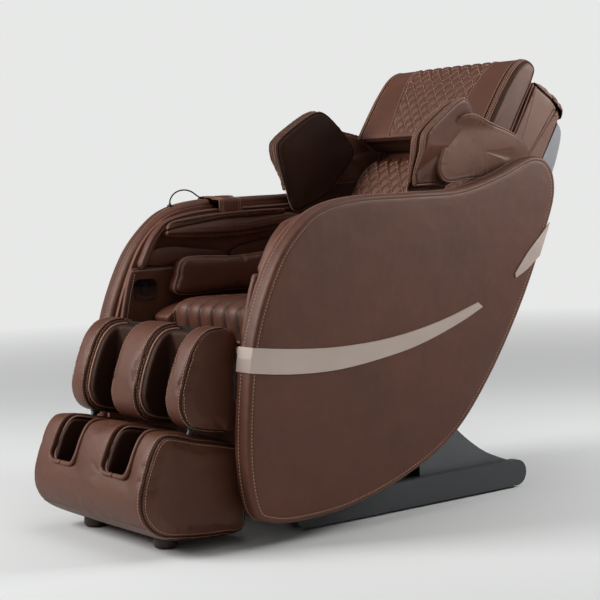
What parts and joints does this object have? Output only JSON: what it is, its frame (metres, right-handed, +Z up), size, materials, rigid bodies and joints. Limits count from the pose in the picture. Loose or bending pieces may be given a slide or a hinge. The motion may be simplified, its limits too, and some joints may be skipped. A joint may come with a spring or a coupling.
{
  "type": "massage chair",
  "caption": "Upholstered massage chair with quilted seat and back, shoulder wings, flip-back pillow, calf and foot rest, on a low base.",
  "frame": {"origin": "on the floor under the middle of the chair's bounding box", "axes": "+X to the sitter's left, -Y the front, +Z up"},
  "size_m": [0.7279, 1.4349, 1.152],
  "materials": {
    "leather": "brown synthetic leather over foam, satin",
    "leather_dark": "dark brown synthetic leather over foam",
    "leather_tan": "lighter brown synthetic leather",
    "leather_skin": "single layer of synthetic leather",
    "board": "plywood covered in leather",
    "plywood": "bare plywood",
    "steel_black": "black powder coat",
    "steel_grey": "grey paint",
    "rod": "polished",
    "silver": "champagne silver paint",
    "grey_plastic": "fine texture",
    "shell_plastic": "fine texture",
    "black_plastic": "matt",
    "gloss_black": "gloss",
    "red_plastic": "gloss",
    "rubber": "matt",
    "roller": "smooth"
  },
  "bodies": {
    "base": {"base_frame": "steel_black", "base_covers": "grey_plastic", "base_apron": "grey_plastic", "base_feet": "rubber", "control_box": "grey_plastic", "power_inlet": "black_plastic"},
    "wheel_left": {"wheel_l": "rubber"},
    "wheel_right": {"wheel_r": "rubber"},
    "switch": {"power_switch": "red_plastic"},
    "tilt_tube": {"tilt_actuator": "black_plastic"},
    "tilt_piston": {"tilt_rod": "rod"},
    "seat": {"seat_frame": "steel_black", "seat_pan": "plywood", "seat_cushion": "leather", "side_cover_l": "leather", "side_cover_r": "leather", "side_board_l": "board", "side_board_r": "board", "trim_l": "silver", "trim_r": "silver", "arm_roll_l": "leather", "arm_roll_r": "leather", "inner_block_l": "leather", "inner_block_r": "leather", "hip_pad_l": "leather", "hip_pad_r": "leather", "arm_pads_l": "leather_dark", "arm_pads_r": "leather_dark", "control_bezel": "gloss_black", "remote_strap": "leather_skin", "cable_gland": "black_plastic", "remote_cable": "rubber", "air_pump": "grey_plastic", "legrest_motor": "black_plastic"},
    "knob": {"control_knob": "gloss_black"},
    "recline_tube": {"recline_actuator": "black_plastic"},
    "recline_piston": {"recline_rod": "rod"},
    "back": {"back_frame": "steel_black", "back_shell": "shell_plastic", "back_sides": "leather_tan", "back_pad": "leather", "back_flap": "leather_skin", "wing_l": "leather", "wing_r": "leather"},
    "head_pillow": {"pillow": "leather"},
    "carriage": {"carriage_frame": "steel_grey", "carriage_motor": "black_plastic"},
    "pinions": {"pinion_shaft": "rod"},
    "arms": {"roller_arms": "steel_grey"},
    "rollers_up": {"upper_rollers": "roller"},
    "rollers_low": {"lower_rollers": "roller"},
    "leg": {"calf_frame": "steel_black", "calf_blocks": "leather", "calf_liners": "leather_dark"},
    "foot": {"foot_shell": "leather", "foot_liners": "leather_dark", "foot_rods": "rod", "foot_feet": "rubber"},
    "sole": {"sole_rollers": "black_plastic"}
  },
  "joints": [
    {"name": "seat_tilt", "type": "hinge", "parent": "base", "child": "seat", "pos_m": [0, 0.06, 0.3], "axis": [-1, 0, 0], "range_deg": [0, 20]},
    {"name": "tilt_swing", "type": "hinge", "parent": "base", "child": "tilt_tube", "pos_m": [0.07, -0.252, 0.099], "axis": [-1, 0, 0], "range_deg": [-2, 2]},
    {"name": "tilt_extend", "type": "slide", "parent": "tilt_tube", "child": "tilt_piston", "axis": [0, 0.5067, 0.8621], "range_m": [0, 0.062]},
    {"name": "back_recline", "type": "hinge", "parent": "seat", "child": "back", "pos_m": [0, 0.235, 0.47], "axis": [-1, 0, 0], "range_deg": [0, 30]},
    {"name": "recline_swing", "type": "hinge", "parent": "seat", "child": "recline_tube", "pos_m": [-0.06, -0.2, 0.3765], "axis": [-1, 0, 0], "range_deg": [-2, 2]},
    {"name": "recline_extend", "type": "slide", "parent": "recline_tube", "child": "recline_piston", "axis": [0, 1, 0], "range_m": [-0.062, 0]},
    {"name": "legrest_lift", "type": "hinge", "parent": "seat", "child": "leg", "pos_m": [0, -0.445, 0.425], "axis": [-1, 0, 0], "range_deg": [0, 80]},
    {"name": "foot_extend", "type": "slide", "parent": "leg", "child": "foot", "axis": [0, -0.4695, -0.8829], "range_m": [0, 0.12]},
    {"name": "sole_spin", "type": "hinge", "parent": "foot", "child": "sole", "pos_m": [0, -0.6, 0.086], "axis": [1, 0, 0], "continuous": true},
    {"name": "carriage_travel", "type": "slide", "parent": "back", "child": "carriage", "axis": [0, 0.5446, 0.8387], "range_m": [0, 0.3]},
    {"name": "pinion_spin", "type": "hinge", "parent": "carriage", "child": "pinions", "pos_m": [0, 0.37776, 0.60861], "axis": [1, 0, 0], "range_deg": [0, 860]},
    {"name": "arms_tilt", "type": "hinge", "parent": "carriage", "child": "arms", "pos_m": [0, 0.37857, 0.65578], "axis": [1, 0, 0], "range_deg": [-6, 6]},
    {"name": "upper_spin", "type": "hinge", "parent": "arms", "child": "rollers_up", "pos_m": [0, 0.39733, 0.71037], "axis": [1, 0, 0], "continuous": true},
    {"name": "lower_spin", "type": "hinge", "parent": "arms", "child": "rollers_low", "pos_m": [0, 0.33742, 0.61811], "axis": [1, 0, 0], "continuous": true},
    {"name": "pillow_flip", "type": "hinge", "parent": "back", "child": "head_pillow", "pos_m": [0, 0.57559, 1.10971], "axis": [-1, 0, 0], "range_deg": [0, 110]},
    {"name": "knob_turn", "type": "hinge", "parent": "seat", "child": "knob", "pos_m": [-0.268, -0.366, 0.576], "axis": [1, 0, 0], "range_deg": [-135, 135]},
    {"name": "switch_rock", "type": "hinge", "parent": "base", "child": "switch", "pos_m": [-0.068, 0.453, 0.041], "axis": [1, 0, 0], "range_deg": [0, 12]},
    {"name": "wheel_left_spin", "type": "hinge", "parent": "base", "child": "wheel_left", "pos_m": [0.24, 0.413, 0.029], "axis": [1, 0, 0], "continuous": true},
    {"name": "wheel_right_spin", "type": "hinge", "parent": "base", "child": "wheel_right", "pos_m": [-0.24, 0.413, 0.029], "axis": [1, 0, 0], "continuous": true}
  ],
  "couplings": [
    {"joint": "tilt_swing", "follows": "seat_tilt", "ratio": -0.015},
    {"joint": "tilt_extend", "follows": "seat_tilt", "m_per_rad": 0.16907},
    {"joint": "recline_swing", "follows": "back_recline", "ratio": 0.02},
    {"joint": "recline_extend", "follows": "back_recline", "m_per_rad": -0.095855},
    {"joint": "pinion_spin", "follows": "carriage_travel", "rad_per_m": 50}
  ]
}
